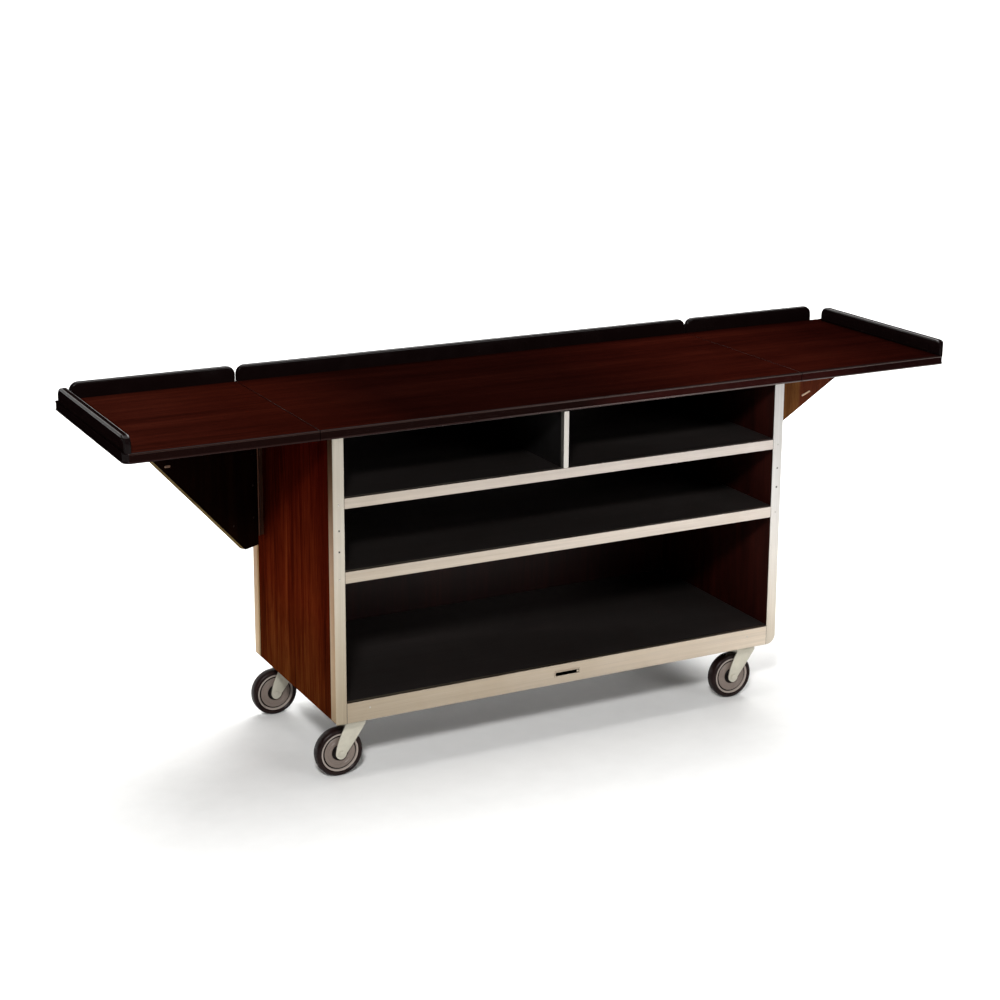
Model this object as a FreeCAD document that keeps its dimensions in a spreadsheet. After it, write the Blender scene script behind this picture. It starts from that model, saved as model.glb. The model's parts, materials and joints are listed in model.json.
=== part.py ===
import FreeCAD, Part
import math
import os
import re
import Sketcher

# Food service trolley: an open-fronted cabinet on four swivel casters, with a
# three-piece top whose end leaves rest on fold-out wing brackets.
# Frame: X along the length, Y from front to back, Z up, floor at Z = 0.

SIZES = {
    # cabinet
    "cabinet_half": 660.5,
    "front_face": -273.9,
    "back_face": 293.1,
    "cabinet_floor": 158.5,
    "top_underside": 904.6,
    "skin": 3.0,
    "post_width": 29.5,
    "post_flange": 32.0,
    "foot_round_left": 5.0,
    "foot_round_right": 26.0,
    "panel_thick": 16.0,
    "back_thick": 6.0,
    "sheet_thick": 3.0,
    "lip_thick": 2.0,
    "lip_depth": 13.0,
    "base_rail_top": 212.0,
    "middle_rail_low": 527.0,
    "middle_rail_top": 557.0,
    "upper_rail_low": 719.0,
    "upper_rail_top": 746.0,
    "top_rail_thick": 7.6,
    "top_rail_depth": 30.0,
    "divider_centre": -12.0,
    "divider_half": 5.0,
    "divider_cap_half": 7.0,
    "badge_half": 39.0,
    "badge_low": 177.0,
    "badge_high": 194.0,
    "badge_thick": 1.2,
    "badge_slot_half": 33.0,
    "badge_slot_low": 181.0,
    "badge_slot_high": 190.0,
    "screw_radius": 4.0,
    "screw_head": 1.3,
    "screw_high": 665.0,
    "screw_low": 611.0,
    "screw_x": 646.0,
    # top
    "top_surface": 929.6,
    "guard_top": 972.0,
    "top_front": -297.0,
    "top_back": 297.0,
    "top_half": 1187.0,
    "edge_thick": 6.0,
    "end_edge_thick": 8.0,
    "guard_thick": 16.0,
    "guard_round": 24.0,
    "centre_end": 698.5,
    "leaf_start": 701.5,
    "corner_round": 20.0,
    "end_guard_thick": 21.0,
    "end_guard_back": 258.0,
    "back_guard_inset": 39.0,
    "pad_near": 890.0,
    "pad_far": 990.0,
    "pad_front": -70.0,
    "pad_back": 130.0,
    "pad_thick": 6.3,
    # hinges
    "leaf_axis_x": 700.0,
    "leaf_axis_z": 901.3,
    "leaf_pin_radius": 1.5,
    "leaf_barrel_radius": 3.1,
    "leaf_plate_thick": 1.6,
    "leaf_plate_reach": 30.0,
    "running_gap": 0.05,
    "hinge_gap": 0.4,
    "wing_axis_x": 670.5,
    "wing_axis_y": 214.6,
    "wing_pin_radius": 2.0,
    "wing_barrel_radius": 4.5,
    "wing_plate_thick": 2.0,
    "wing_plate_width": 26.0,
    # wing brackets
    "wing_angle": 31.0,
    "wing_thick": 18.0,
    "wing_start": 14.0,
    "wing_reach": 455.0,
    "wing_top": 897.5,
    "wing_low": 499.0,
    "wing_toe": 70.0,
    "wing_tip_low": 853.0,
    "wing_round": 14.0,
    # casters
    "caster_x": 592.0,
    "caster_front": -214.4,
    "caster_back": 233.6,
    "caster_trail": 40.0,
    "wheel_radius": 63.5,
    "wheel_half": 16.0,
    "tyre_round": 7.0,
    "tread_depth": 17.0,
    "hub_half": 11.0,
    "boss_radius": 15.0,
    "boss_half": 17.5,
    "axle_radius": 6.0,
    "axle_head_radius": 9.5,
    "axle_head": 4.0,
    "fork_half": 22.0,
    "fork_gap_half": 18.5,
    "fork_top": 146.0,
    "fork_slot_top": 141.0,
    "fork_crown_half": 27.5,
    "fork_crown_drop": 4.0,
    "fork_heel_out": 6.0,
    "fork_heel_drop": 14.0,
    "fork_end_radius": 13.0,
    "fork_end_round": 10.0,
    "fork_slot_behind": 80.0,
    "fork_slot_ahead": 60.0,
    "kingpin_radius": 5.0,
    "race_radius": 22.0,
    "race_low": 146.4,
    "keeper_radius": 9.0,
    "keeper_low": 136.5,
    "keeper_top": 140.6,
    "plate_low": 155.0,
    "plate_half_x": 50.0,
    "plate_half_y": 42.0,
    "plate_bolt_x": 38.0,
    "plate_bolt_y": 30.0,
    "bolt_radius": 4.0,
    "bolt_head_radius": 6.5,
    "bolt_head": 4.5,
    "bolster_half": 49.0,
    "bolster_thick": 4.0,
}
LEAF_KNUCKLES = 8
LEAF_KNUCKLE_LENGTH = 66.0
LEAF_KNUCKLE_GAP = 0.6
LEAF_KNUCKLE_FRONT = -267.0
WING_KNUCKLES = 5
WING_KNUCKLE_LENGTH = 74.0
WING_KNUCKLE_GAP = 0.6
WING_KNUCKLE_LOW = 520.0
SIDES = {"left": -1, "right": 1}

# Starting values that an outline or a placement holds before its expressions apply
FIRST_RING = 100.0
FIRST_SHIFT = 0.1
FIRST_TURN = 10.0
NEAR = 1e-4

doc = FreeCAD.newDocument("trolley")
sheet = doc.addObject("Spreadsheet::Sheet", "Sizes")
for row, (word, size) in enumerate(SIZES.items(), start=1):
    sheet.set("A%d" % row, word)
    sheet.set("B%d" % row, str(size))
    sheet.setAlias("B%d" % row, word)
doc.recompute()

exported = []


def bind(target, prop, text):
    """Bind a property to an expression whose size names are cells of the sheet."""
    def cell(match):
        word = match.group(0)
        return "Sizes." + word if word in SIZES else word
    target.setExpression(prop, re.sub(r"[a-z][a-z_]*", cell, str(text)))


def add(kind, name=None):
    return doc.addObject(kind, name or kind.split("::")[1])


def keep(item, label):
    item.Label = label
    exported.append(item)
    return item


def put(item, x=0, y=0, z=0):
    for axis, text in zip("xyz", (x, y, z)):
        bind(item, "Placement.Base." + axis, text)
    return item


def block(x, y, z):
    """A box between low and high planes given as (low, high) expressions."""
    item = add("Part::Box")
    for prop, (low, high) in zip(("Length", "Width", "Height"), (x, y, z)):
        bind(item, prop, "(%s) - (%s)" % (high, low))
    return put(item, x[0], y[0], z[0])


def flip(pair, sign):
    """The same span on the left side of the centre plane, if sign is negative."""
    low, high = pair
    return (low, high) if sign > 0 else ("-(%s)" % high, "-(%s)" % low)


def rod(axis, start, radius, length):
    """A round bar from a start point along X, Y or Z."""
    item = add("Part::Cylinder")
    turn = {"X": (0, 1, 0, 90), "Y": (1, 0, 0, -90), "Z": (0, 0, 1, 0)}[axis]
    rotation = FreeCAD.Rotation(FreeCAD.Vector(*turn[:3]), turn[3])
    item.Placement = FreeCAD.Placement(FreeCAD.Vector(), rotation)
    bind(item, "Radius", radius)
    bind(item, "Height", length)
    return put(item, *start)


def fuse(*items):
    item = add("Part::MultiFuse")
    item.Shapes = list(items)
    return item


def group(items):
    item = add("Part::Compound")
    item.Links = list(items)
    return item


def common(*items):
    item = add("Part::MultiCommon")
    item.Shapes = list(items)
    return item


def cut(base, *tools):
    item = add("Part::Cut")
    item.Base = base
    item.Tool = tools[0] if len(tools) == 1 else group(tools)
    return item


def slab(plane, corners, thickness, rounds=()):
    """A body padded from a straight-sided outline on one of its origin planes.

    corners are (x, y) expressions in the sketch. rounds are (corner number,
    radius) pairs. XY pads go up, XZ pads go to the front, YZ pads to +X.
    """
    body = add("PartDesign::Body")
    base = [f for f in body.Origin.OriginFeatures if f.Role == plane + "_Plane"][0]
    sketch = body.newObject("Sketcher::SketchObject", "Outline")
    sketch.AttachmentSupport = [(base, "")]
    sketch.MapMode = "FlatFace"
    count = len(corners)
    ring = []
    for number in range(count):
        angle = 2 * math.pi * number / count
        ring.append(FreeCAD.Vector(math.cos(angle), math.sin(angle), 0) * FIRST_RING)
    for number in range(count):
        sketch.addGeometry(Part.LineSegment(ring[number], ring[(number + 1) % count]))
    for number in range(count):
        sketch.addConstraint(Sketcher.Constraint("Coincident", number, 2, (number + 1) % count, 1))
    for number, corner in enumerate(corners):
        first = (ring[number].x + FIRST_SHIFT, ring[number].y + FIRST_SHIFT)
        for kind, text, start in zip(("DistanceX", "DistanceY"), corner, first):
            which = sketch.addConstraint(Sketcher.Constraint(kind, -1, 1, number, 1, start))
            bind(sketch, "Constraints[%d]" % which, text)
    pad = body.newObject("PartDesign::Pad", "Pad")
    pad.Profile = sketch
    bind(pad, "Length", thickness)
    doc.recompute()
    feature = pad
    for number, radius in rounds:
        spot = sketch.getGlobalPlacement().multVec(sketch.Geometry[number].StartPoint)
        normal = sketch.getGlobalPlacement().Rotation.multVec(FreeCAD.Vector(0, 0, 1))
        edge = upright_edge(feature.Shape, spot, normal)
        fillet = body.newObject("PartDesign::Fillet", "Round")
        fillet.Base = (feature, [edge])
        bind(fillet, "Radius", radius)
        doc.recompute()
        feature = fillet
    body.Tip = feature
    return body


def upright_edge(shape, spot, normal):
    """The name of the straight edge that stands on spot along normal."""
    for number, edge in enumerate(shape.Edges, start=1):
        if len(edge.Vertexes) != 2 or not isinstance(edge.Curve, Part.Line):
            continue
        along = edge.Vertexes[1].Point - edge.Vertexes[0].Point
        if along.cross(normal).Length > NEAR * along.Length:
            continue
        if (edge.Vertexes[0].Point - spot).cross(normal).Length < NEAR:
            return "Edge%d" % number
    raise ValueError("no edge at %s" % spot)


def turned(body, angle, x, y, z):
    """Stand a body at a place, turned about the vertical by an angle expression."""
    upright = FreeCAD.Vector(0, 0, 1)
    body.Placement = FreeCAD.Placement(FreeCAD.Vector(), FreeCAD.Rotation(upright, FIRST_TURN))
    bind(body, "Placement.Rotation.Angle", angle)
    return put(body, x, y, z)


def end_slab(side, sign, depth):
    """A slab as wide as a post and as tall as the cabinet, its lower outer edge rounded."""
    low, high = flip(("cabinet_half - post_width", "cabinet_half"), sign)
    return slab("XZ", [(low, "cabinet_floor"), (high, "cabinet_floor"),
                       (high, "top_underside"), (low, "top_underside")], depth,
                rounds=[(1 if sign > 0 else 0, "foot_round_" + side)])


def post(side, sign, back):
    """An angle section corner post: a face plate and a flange over the end panel."""
    solid = end_slab(side, sign, "post_flange")
    hollow_x = flip(("cabinet_half - post_width", "cabinet_half - skin"), sign)
    hollow_y = ("front_face + skin", "front_face + post_flange")
    if back:
        hollow_y = ("back_face - post_flange", "back_face - skin")
    put(solid, 0, "back_face" if back else "front_face + post_flange", 0)
    return cut(solid, block(hollow_x, hollow_y, ("cabinet_floor", "top_underside")))


def end_panel(side, sign):
    """The laminated panel at one end, behind the post flanges."""
    solid = put(end_slab(side, sign, "back_face - front_face"), 0, "back_face", 0)
    x = flip(("cabinet_half - skin - panel_thick", "cabinet_half - skin"), sign)
    y = ("front_face + skin", "back_face - skin")
    return common(solid, block(x, y, ("cabinet_floor", "top_underside")))


def rail(back, low, high):
    """A rail between the posts: the front ones have folded top and bottom lips."""
    half = "cabinet_half - post_width"
    x = ("-(%s)" % half, half)
    if back:
        return block(x, ("back_face - skin", "back_face"), (low, high))
    web = block(x, ("front_face", "front_face + skin"), (low, high))
    lip_y = ("front_face + skin", "front_face + skin + lip_depth")
    upper = block(x, lip_y, ("%s - lip_thick" % high, high))
    lower = block(x, lip_y, (low, "%s + lip_thick" % low))
    return fuse(web, upper, lower)


def shelf(rail_top):
    half = "cabinet_half - skin - panel_thick"
    y = ("front_face + skin", "back_face - skin - back_thick")
    top = "%s - lip_thick" % rail_top
    return block(("-(%s)" % half, half), y, ("%s - sheet_thick" % top, top))


# Cabinet frame: posts, end panels, back, rails, shelves
for side, sign in SIDES.items():
    keep(post(side, sign, False), "post_front_" + side)
    keep(post(side, sign, True), "post_back_" + side)
    keep(end_panel(side, sign), "end_panel_" + side)
inside = ("-(cabinet_half - skin - panel_thick)", "cabinet_half - skin - panel_thick")
keep(block(inside, ("back_face - skin - back_thick", "back_face - skin"),
           ("cabinet_floor", "top_underside")), "back_panel")
keep(rail(False, "cabinet_floor", "base_rail_top"), "base_rail_front")
keep(rail(True, "cabinet_floor", "base_rail_top"), "base_rail_back")
keep(rail(False, "middle_rail_low", "middle_rail_top"), "middle_rail")
keep(rail(False, "upper_rail_low", "upper_rail_top"), "upper_rail")
keep(shelf("base_rail_top"), "base_deck")
keep(shelf("middle_rail_top"), "middle_shelf")
keep(shelf("upper_rail_top"), "upper_shelf")
rail_z = ("top_underside - top_rail_thick", "top_underside")
keep(group([
    block(inside, ("front_face + skin", "front_face + skin + top_rail_depth"), rail_z),
    block(inside, ("back_face - skin - back_thick - top_rail_depth", "back_face - skin - back_thick"),
          rail_z),
]), "top_rails")
divider_z = ("upper_rail_top - lip_thick", "top_underside - top_rail_thick")
keep(block(("divider_centre - divider_half", "divider_centre + divider_half"),
           ("front_face + skin + lip_depth", "back_face - skin - back_thick"), divider_z), "divider_panel")
keep(block(("divider_centre - divider_cap_half", "divider_centre + divider_cap_half"),
           ("front_face", "front_face + skin + lip_depth"),
           ("upper_rail_top", divider_z[1])), "divider_cap")
badge_y = ("front_face - badge_thick", "front_face")
keep(cut(block(("-badge_half", "badge_half"), badge_y, ("badge_low", "badge_high")),
         block(("-badge_slot_half", "badge_slot_half"), badge_y,
               ("badge_slot_low", "badge_slot_high"))), "badge_plate")
screws = []
for sign in SIDES.values():
    for height in ("screw_low", "screw_high"):
        screws.append(rod("Y", ("%d * screw_x" % sign, "front_face - screw_head", height),
                          "screw_radius", "screw_head"))
        screws.append(rod("Y", ("%d * screw_x" % sign, "back_face", height),
                          "screw_radius", "screw_head"))
keep(group(screws), "post_screws")

# Fixed centre of the top
board_z = ("top_underside", "top_surface")
board_y = ("top_front + edge_thick", "top_back - guard_thick")
keep(block(("-centre_end", "centre_end"), board_y, board_z), "centre_board")
keep(block(("-centre_end", "centre_end"), ("top_front", "top_front + edge_thick"), board_z), "centre_edge")


def back_guard(low, high):
    """An upright board on edge with rounded upper corners."""
    guard = slab("XZ", [(low, "top_underside"), (high, "top_underside"),
                        (high, "guard_top"), (low, "guard_top")], "guard_thick",
                 rounds=[(2, "guard_round"), (3, "guard_round")])
    return put(guard, 0, "top_back", 0)


keep(back_guard("-centre_end", "centre_end"), "centre_guard")

# Drop leaves of the top
for side, sign in SIDES.items():
    outer = "top_half - end_edge_thick"
    low, high = flip(("leaf_start", "top_half"), sign)
    outer_corner = 1 if sign > 0 else 0
    full = slab("XY", [(low, "top_front"), (high, "top_front"),
                       (high, board_y[1]), (low, board_y[1])],
                "top_surface - top_underside", rounds=[(outer_corner, "corner_round")])
    put(full, 0, 0, "top_underside")
    low, high = flip(("leaf_start", outer), sign)
    boards = []
    for copy in range(2):
        board = slab("XY", [(low, board_y[0]), (high, board_y[0]),
                            (high, board_y[1]), (low, board_y[1])],
                     "top_surface - top_underside",
                     rounds=[(outer_corner, "corner_round - edge_thick")])
        boards.append(put(board, 0, 0, "top_underside"))
    keep(boards[0], "leaf_board_" + side)
    keep(cut(full, boards[1]), "leaf_edge_" + side)
    low, high = flip(("leaf_start", "top_half - back_guard_inset"), sign)
    keep(back_guard(low, high), "leaf_back_guard_" + side)
    # The end guard stands flush with the rim and follows its rounded corner
    end_guard = slab("YZ", [("top_front", "top_surface"), ("end_guard_back", "top_surface"),
                            ("end_guard_back", "guard_top"), ("top_front", "guard_top")],
                     "end_guard_thick", rounds=[(2, "guard_round"), (3, "guard_round")])
    put(end_guard, "top_half - end_guard_thick" if sign > 0 else "-top_half", 0, 0)
    low, high = flip(("leaf_start", "top_half"), sign)
    above = slab("XY", [(low, "top_front"), (high, "top_front"),
                        (high, board_y[1]), (low, board_y[1])],
                 "guard_top - top_surface + 1", rounds=[(outer_corner, "corner_round")])
    keep(common(end_guard, put(above, 0, 0, "top_surface")), "leaf_end_guard_" + side)
    keep(block(flip(("pad_near", "pad_far"), sign), ("pad_front", "pad_back"),
               ("top_underside - pad_thick", "top_underside")), "leaf_pad_" + side)


def beside(axis, start, end, outward):
    """A span measured from an axis, away from the centre plane or towards it."""
    if outward:
        return ("%s + %s" % (axis, start), "%s + %s" % (axis, end))
    return ("%s - (%s)" % (axis, end), "%s - (%s)" % (axis, start))


def leaf_hinge(sign, moving):
    """Half of a leaf hinge: a strip under the board that carries every other barrel."""
    near = "leaf_barrel_radius + hinge_gap"
    strip_x = flip(beside("leaf_axis_x", near, "leaf_plate_reach", moving), sign)
    tab_x = flip(beside("leaf_axis_x", "0", near, moving), sign)
    z = ("top_underside - leaf_plate_thick", "top_underside")
    back = LEAF_KNUCKLE_FRONT + LEAF_KNUCKLES * LEAF_KNUCKLE_LENGTH
    length = LEAF_KNUCKLE_LENGTH - LEAF_KNUCKLE_GAP
    solids = [block(strip_x, (LEAF_KNUCKLE_FRONT, back), z)]
    bores = []
    for number in range(int(moving), LEAF_KNUCKLES, 2):
        start = LEAF_KNUCKLE_FRONT + number * LEAF_KNUCKLE_LENGTH
        place = ("%d * leaf_axis_x" % sign, start, "leaf_axis_z")
        solids.append(rod("Y", place, "leaf_barrel_radius", length))
        solids.append(block(tab_x, (start, start + length), z))
        bores.append(rod("Y", place, "leaf_pin_radius + running_gap", length))
    return cut(fuse(*solids), *bores)


def wing_hinge(sign, moving):
    """Half of a bracket hinge: an angle strip on the end panel, or a flat strip on the bracket.

    The moving half is drawn on its own axis and then turned into place.
    """
    top = WING_KNUCKLE_LOW + WING_KNUCKLES * WING_KNUCKLE_LENGTH
    length = WING_KNUCKLE_LENGTH - WING_KNUCKLE_GAP
    z = (WING_KNUCKLE_LOW, top)
    near = "wing_barrel_radius + hinge_gap"
    if moving:
        place = (0, 0)
        strip_y = ("-wing_plate_thick / 2", "wing_plate_thick / 2")
        tab_x = ("0", near)
        solids = [block((near, "wing_start"), strip_y, z)]
    else:
        place = ("%d * wing_axis_x" % sign, "wing_axis_y")
        strip_y = ("wing_axis_y", "wing_axis_y + wing_plate_thick")
        tab_x = flip(beside("wing_axis_x", "0", near, False), sign)
        web_x = flip(("cabinet_half - skin", "wing_axis_x - (%s)" % near), sign)
        plate_x = flip(("cabinet_half - skin", "cabinet_half - skin + wing_plate_thick"), sign)
        solids = [block(web_x, strip_y, z),
                  block(plate_x, ("wing_axis_y", "wing_axis_y + wing_plate_width"), z)]
    bores = []
    for number in range(int(moving), WING_KNUCKLES, 2):
        start = WING_KNUCKLE_LOW + number * WING_KNUCKLE_LENGTH
        solids.append(rod("Z", (*place, start), "wing_barrel_radius", length))
        solids.append(block(tab_x, strip_y, (start, start + length)))
        bores.append(rod("Z", (*place, start), "wing_pin_radius + running_gap", length))
    return cut(fuse(*solids), *bores)


# Hinges: fixed halves and pins on the cabinet, moving halves on leaf and bracket
fixed = []
pins = []
for side, sign in SIDES.items():
    fixed += [leaf_hinge(sign, False), wing_hinge(sign, False)]
    keep(leaf_hinge(sign, True), "leaf_hinge_" + side)
    angle = "-wing_angle" if sign > 0 else "180 + wing_angle"
    keep(turned(wing_hinge(sign, True), angle, "%d * wing_axis_x" % sign, "wing_axis_y", 0),
         "bracket_hinge_" + side)
    pins.append(rod("Y", ("%d * leaf_axis_x" % sign, LEAF_KNUCKLE_FRONT, "leaf_axis_z"),
                    "leaf_pin_radius", LEAF_KNUCKLES * LEAF_KNUCKLE_LENGTH))
    pins.append(rod("Z", ("%d * wing_axis_x" % sign, "wing_axis_y", WING_KNUCKLE_LOW),
                    "wing_pin_radius", WING_KNUCKLES * WING_KNUCKLE_LENGTH))
keep(group(fixed), "fixed_hinge_plates")
keep(group(pins), "hinge_pins")

# Wing brackets: boards on edge with a sloping lower side
for side, sign in SIDES.items():
    wing = slab("XZ", [("wing_start", "wing_low"), ("wing_toe", "wing_low"),
                       ("wing_reach", "wing_tip_low"), ("wing_reach", "wing_top"),
                       ("wing_start", "wing_top")], "wing_thick",
                rounds=[(1, "wing_round"), (2, "wing_round")])
    put(wing, 0, "wing_thick / 2", 0)
    stand = group([wing])
    angle = "-wing_angle" if sign > 0 else "180 + wing_angle"
    keep(turned(stand, angle, "%d * wing_axis_x" % sign, "wing_axis_y", 0), "bracket_wing_" + side)


def plate_bolts(radius, low, length):
    """Round bars at the four bolt places of every caster plate."""
    bars = []
    for sign in SIDES.values():
        for depth in ("caster_front", "caster_back"):
            for along in (-1, 1):
                for across in (-1, 1):
                    x = "%d * caster_x + %d * plate_bolt_x" % (sign, along)
                    y = "%s + %d * plate_bolt_y" % (depth, across)
                    bars.append(rod("Z", (x, y, low), radius, length))
    return bars


# Caster mountings under the base
bolsters = []
plates = []
kingpins = []
for sign in SIDES.values():
    bolsters.append(block(("%d * caster_x - bolster_half" % sign, "%d * caster_x + bolster_half" % sign),
                          ("front_face + skin + lip_depth", "back_face - skin - back_thick"),
                          ("cabinet_floor", "cabinet_floor + bolster_thick")))
    for depth in ("caster_front", "caster_back"):
        x = "%d * caster_x" % sign
        plates.append(block((x + " - plate_half_x", x + " + plate_half_x"),
                            (depth + " - plate_half_y", depth + " + plate_half_y"),
                            ("plate_low", "cabinet_floor")))
        race = rod("Z", (x, depth, "race_low"), "race_radius", "plate_low - race_low")
        pin = rod("Z", (x, depth, "keeper_low"), "kingpin_radius", "race_low - keeper_low")
        keeper = rod("Z", (x, depth, "keeper_low"), "keeper_radius", "keeper_top - keeper_low")
        kingpins.append(fuse(race, pin, keeper))
hole_radius = "bolt_radius + running_gap"
bolt_length = "cabinet_floor + bolster_thick + bolt_head - plate_low"
keep(cut(group(bolsters), *plate_bolts(hole_radius, "cabinet_floor", "bolster_thick")), "caster_bolsters")
keep(cut(group(plates), *plate_bolts(hole_radius, "plate_low", "cabinet_floor - plate_low")),
     "caster_plates")
keep(group(kingpins), "caster_kingpins")
heads = plate_bolts("bolt_head_radius", "plate_low - bolt_head", "bolt_head")
shanks = plate_bolts("bolt_radius", "plate_low", bolt_length)
keep(group([fuse(head, shank) for head, shank in zip(heads, shanks)]), "caster_bolts")

# Casters: fork and axle swivel together, hub and tyre turn on the axle
for side, sign in SIDES.items():
    for end in ("front", "back"):
        name = "_%s_%s" % (end, side)
        x, y = "%d * caster_x" % sign, "caster_" + end
        wheel_x = x + " - caster_trail"
        blade = slab("XZ", [
            ("-caster_trail - fork_end_radius", "wheel_radius - fork_end_radius"),
            ("-caster_trail + fork_end_radius", "wheel_radius - fork_end_radius"),
            ("fork_crown_half", "fork_slot_top - fork_crown_drop"), ("fork_crown_half", "fork_top"),
            ("-fork_crown_half", "fork_top"),
            ("-fork_crown_half - fork_heel_out", "fork_slot_top - fork_heel_drop")],
            "2 * fork_half", rounds=[(0, "fork_end_round"), (1, "fork_end_round")])
        put(blade, x, y + " + fork_half", 0)
        gap = block((x + " - fork_slot_behind", x + " + fork_slot_ahead"),
                    (y + " - fork_gap_half", y + " + fork_gap_half"), ("0", "fork_slot_top"))
        king_hole = rod("Z", (x, y, "fork_slot_top"), "kingpin_radius + running_gap",
                        "fork_top - fork_slot_top")
        axle_hole = rod("Y", (wheel_x, y + " - fork_half", "wheel_radius"),
                        "axle_radius + running_gap", "2 * fork_half")
        keep(cut(blade, gap, king_hole, axle_hole), "caster_fork" + name)
        axle = [rod("Y", (wheel_x, y + " - fork_half", "wheel_radius"), "axle_radius", "2 * fork_half"),
                rod("Y", (wheel_x, y + " - fork_half - axle_head", "wheel_radius"),
                    "axle_head_radius", "axle_head"),
                rod("Y", (wheel_x, y + " + fork_half", "wheel_radius"), "axle_head_radius", "axle_head")]
        keep(fuse(*axle), "caster_axle" + name)
        tread = add("Part::Fillet")
        tread.Base = rod("Y", (wheel_x, y + " - wheel_half", "wheel_radius"), "wheel_radius",
                         "2 * wheel_half")
        doc.recompute()
        rims = [number for number, edge in enumerate(tread.Base.Shape.Edges, start=1)
                if isinstance(edge.Curve, Part.Circle)]
        tyre_round = float(sheet.get("tyre_round"))
        tread.Edges = [(number, tyre_round, tyre_round) for number in rims]
        core = rod("Y", (wheel_x, y + " - wheel_half", "wheel_radius"), "wheel_radius - tread_depth",
                   "2 * wheel_half")
        keep(cut(tread, core), "caster_tyre" + name)
        disc = rod("Y", (wheel_x, y + " - hub_half", "wheel_radius"), "wheel_radius - tread_depth",
                   "2 * hub_half")
        boss = rod("Y", (wheel_x, y + " - boss_half", "wheel_radius"), "boss_radius", "2 * boss_half")
        bore = rod("Y", (wheel_x, y + " - boss_half", "wheel_radius"), "axle_radius + running_gap",
                   "2 * boss_half")
        keep(cut(fuse(disc, boss), bore), "caster_hub" + name)

doc.recompute()
for item in doc.Objects:
    if "Invalid" in item.State or "Error" in item.State:
        raise RuntimeError("%s failed: %s" % (item.Label, item.State))
os.makedirs("parts", exist_ok=True)
for item in exported:
    shape = item.Shape
    if shape.isNull() or not shape.isValid() or shape.Volume <= 0:
        raise RuntimeError("%s has no valid shape" % item.Label)
    shape.exportStep("parts/%s.step" % item.Label)
print(len(exported), "nodes written")
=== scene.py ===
import json
import math

import bmesh
import bpy
from mathutils import Matrix, Vector, geometry


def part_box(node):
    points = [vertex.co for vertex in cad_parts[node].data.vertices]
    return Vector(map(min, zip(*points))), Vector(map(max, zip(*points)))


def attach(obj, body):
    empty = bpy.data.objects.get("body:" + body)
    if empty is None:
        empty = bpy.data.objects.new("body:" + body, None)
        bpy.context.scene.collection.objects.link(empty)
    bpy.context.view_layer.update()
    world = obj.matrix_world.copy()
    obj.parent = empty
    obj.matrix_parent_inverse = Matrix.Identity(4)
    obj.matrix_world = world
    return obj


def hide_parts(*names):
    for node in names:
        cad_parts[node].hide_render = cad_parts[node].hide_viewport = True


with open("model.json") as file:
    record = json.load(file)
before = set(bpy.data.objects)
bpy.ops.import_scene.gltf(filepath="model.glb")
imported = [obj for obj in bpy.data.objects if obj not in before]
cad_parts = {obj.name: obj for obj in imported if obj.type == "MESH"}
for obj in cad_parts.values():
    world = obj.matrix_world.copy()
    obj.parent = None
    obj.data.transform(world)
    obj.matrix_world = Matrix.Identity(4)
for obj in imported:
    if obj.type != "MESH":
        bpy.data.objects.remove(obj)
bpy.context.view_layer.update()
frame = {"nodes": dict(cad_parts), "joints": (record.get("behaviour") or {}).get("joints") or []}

MM = 0.001
SIDES = {"left": -1, "right": 1}
ENDS = ("front", "back")
NODES = frame["nodes"]
JOINTS = {joint["name"]: joint for joint in frame["joints"]}
MATERIALS = {}


# ---------------------------------------------------------------- shaders

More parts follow.
